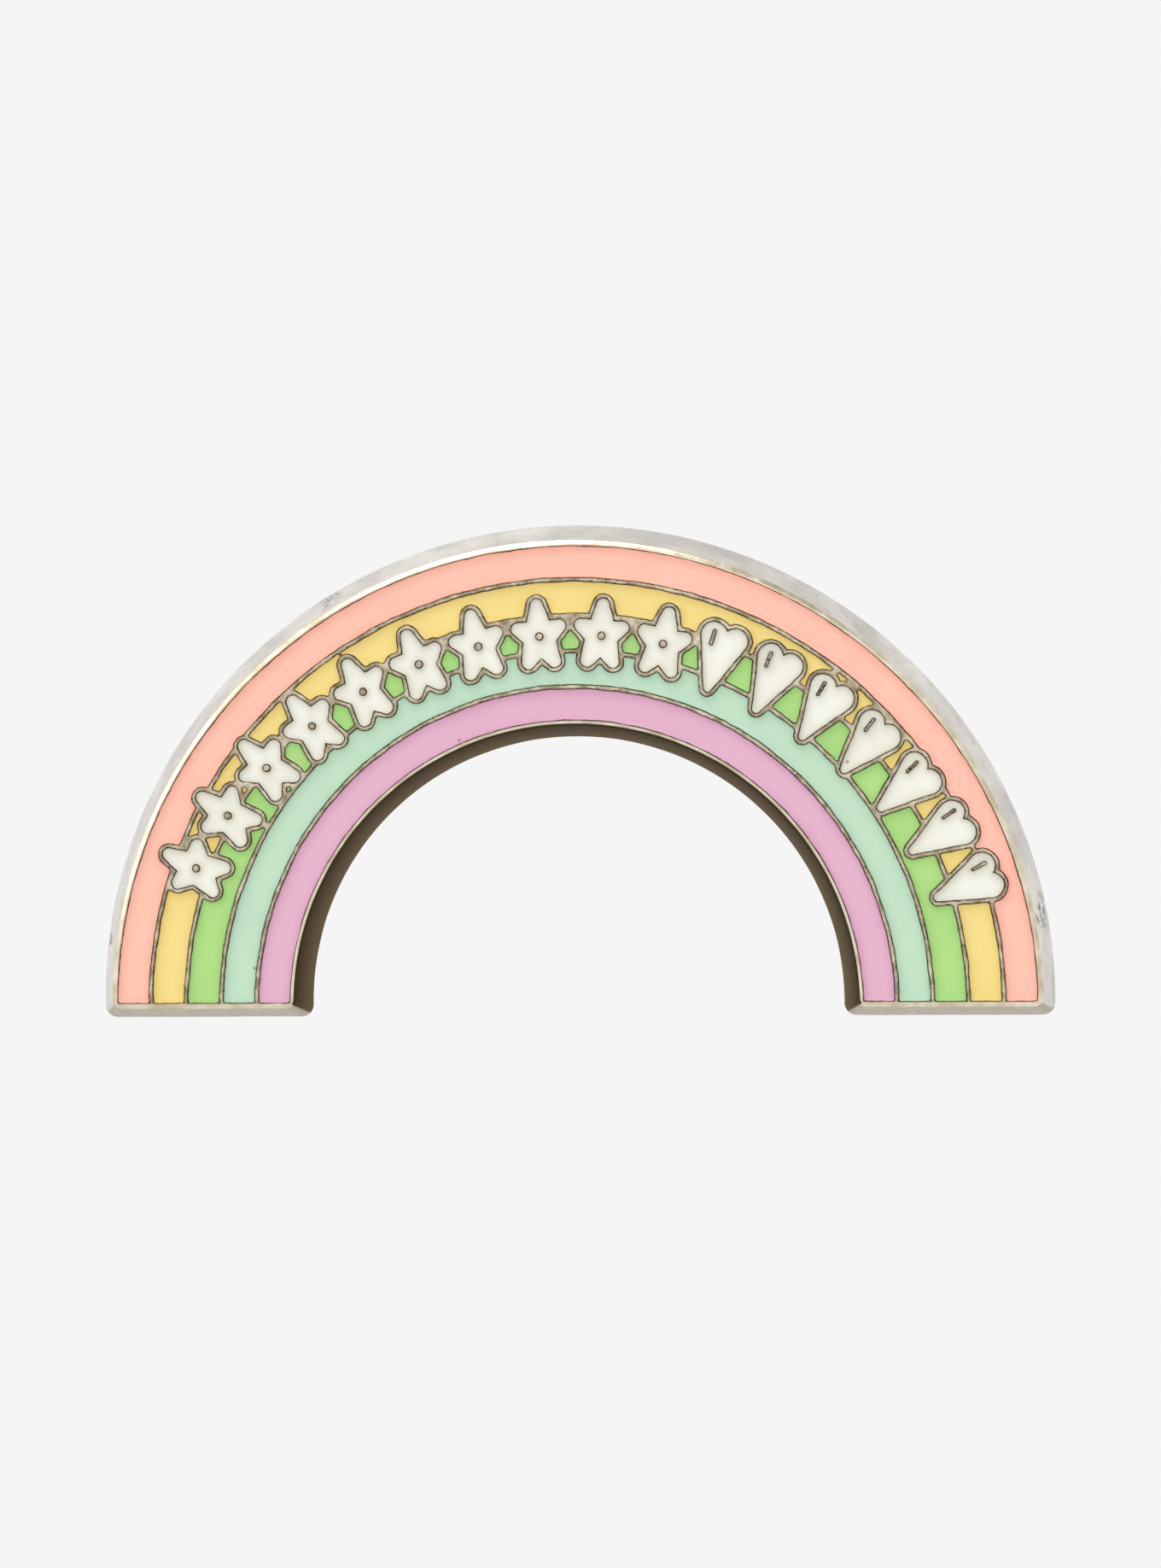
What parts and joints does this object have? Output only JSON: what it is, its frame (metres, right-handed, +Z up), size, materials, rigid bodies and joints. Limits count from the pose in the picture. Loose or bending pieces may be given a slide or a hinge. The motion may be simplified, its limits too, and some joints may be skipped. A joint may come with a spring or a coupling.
{
  "type": "enamel lapel pin",
  "caption": "Rainbow arch lapel pin: a plated metal arch with recessed enamel stripes and raised star and heart outlines, worn on posts with sliding butterfly clutches.",
  "frame": {"origin": "on the flat back face, halfway across the band at the crown of the arch", "axes": "+X across the arch, +Z up through the crown, +Y out of the back along the posts, so the enamelled face looks towards -Y"},
  "size_m": [0.0444, 0.0104, 0.0229],
  "materials": {
    "plated_casting": "struck and nickel-plated, worn to a soft shine, darker beside the lines",
    "coral_enamel": "soft enamel, glossy, sunk below the lines",
    "yellow_enamel": "soft enamel, glossy, sunk below the lines",
    "green_enamel": "soft enamel, glossy, sunk below the lines",
    "mint_enamel": "soft enamel, glossy, sunk below the lines",
    "lilac_enamel": "soft enamel, glossy, sunk below the lines",
    "white_enamel": "soft off-white enamel, glossy, sunk below the lines",
    "post_metal": "nickel-plated, turned",
    "solder": "dull tin solder",
    "clutch_metal": "nickel-plated stamped brass",
    "spring_steel": "drawn spring wire"
  },
  "bodies": {
    "arch": {"arch_body": "plated_casting", "coral_enamel": "coral_enamel", "yellow_enamel": "yellow_enamel", "green_enamel": "green_enamel", "mint_enamel": "mint_enamel", "lilac_enamel": "lilac_enamel", "star_enamel_01": "white_enamel", "star_enamel_02": "white_enamel", "star_enamel_03": "white_enamel", "star_enamel_04": "white_enamel", "star_enamel_05": "white_enamel", "star_enamel_06": "white_enamel", "star_enamel_07": "white_enamel", "star_enamel_08": "white_enamel", "star_enamel_09": "white_enamel", "star_enamel_10": "white_enamel", "heart_enamel_01": "white_enamel", "heart_enamel_02": "white_enamel", "heart_enamel_03": "white_enamel", "heart_enamel_04": "white_enamel", "heart_enamel_05": "white_enamel", "heart_enamel_06": "white_enamel", "heart_enamel_07": "white_enamel", "post_left": "post_metal", "post_right": "post_metal", "solder_left": "solder", "solder_right": "solder"},
    "clutch_left": {"clutch_base_left": "clutch_metal", "clutch_cover_left": "clutch_metal", "grip_spring_left": "spring_steel"},
    "wing_foot_left": {"wing_foot_left": "clutch_metal"},
    "wing_crown_left": {"wing_crown_left": "clutch_metal"},
    "clutch_right": {"clutch_base_right": "clutch_metal", "clutch_cover_right": "clutch_metal", "grip_spring_right": "spring_steel"},
    "wing_foot_right": {"wing_foot_right": "clutch_metal"},
    "wing_crown_right": {"wing_crown_right": "clutch_metal"}
  },
  "joints": [
    {"name": "clutch_slide_left", "type": "slide", "parent": "arch", "child": "clutch_left", "axis": [0, 1, 0], "range_m": [-0.002, 0.0062]},
    {"name": "wing_foot_squeeze_left", "type": "hinge", "parent": "clutch_left", "child": "wing_foot_left", "pos_m": [-0.01319, 0.00517, -0.0059], "axis": [0.6691, 0, -0.7431], "range_deg": [0, 18], "stiffness_Nm_per_rad": 0.005, "springref_deg": -22.92},
    {"name": "wing_crown_squeeze_left", "type": "hinge", "parent": "clutch_left", "child": "wing_crown_left", "pos_m": [-0.00996, 0.00517, -0.00299], "axis": [-0.6691, 0, 0.7431], "range_deg": [0, 18], "stiffness_Nm_per_rad": 0.005, "springref_deg": -22.92},
    {"name": "clutch_slide_right", "type": "slide", "parent": "arch", "child": "clutch_right", "axis": [0, 1, 0], "range_m": [-0.002, 0.0062]},
    {"name": "wing_foot_squeeze_right", "type": "hinge", "parent": "clutch_right", "child": "wing_foot_right", "pos_m": [0.01319, 0.00517, -0.0059], "axis": [0.6691, 0, 0.7431], "range_deg": [0, 18], "stiffness_Nm_per_rad": 0.005, "springref_deg": -22.92},
    {"name": "wing_crown_squeeze_right", "type": "hinge", "parent": "clutch_right", "child": "wing_crown_right", "pos_m": [0.00996, 0.00517, -0.00299], "axis": [-0.6691, 0, -0.7431], "range_deg": [0, 18], "stiffness_Nm_per_rad": 0.005, "springref_deg": -22.92}
  ],
  "couplings": [
    {"joint": "wing_crown_squeeze_left", "follows": "wing_foot_squeeze_left", "ratio": 1},
    {"joint": "wing_crown_squeeze_right", "follows": "wing_foot_squeeze_right", "ratio": 1}
  ]
}
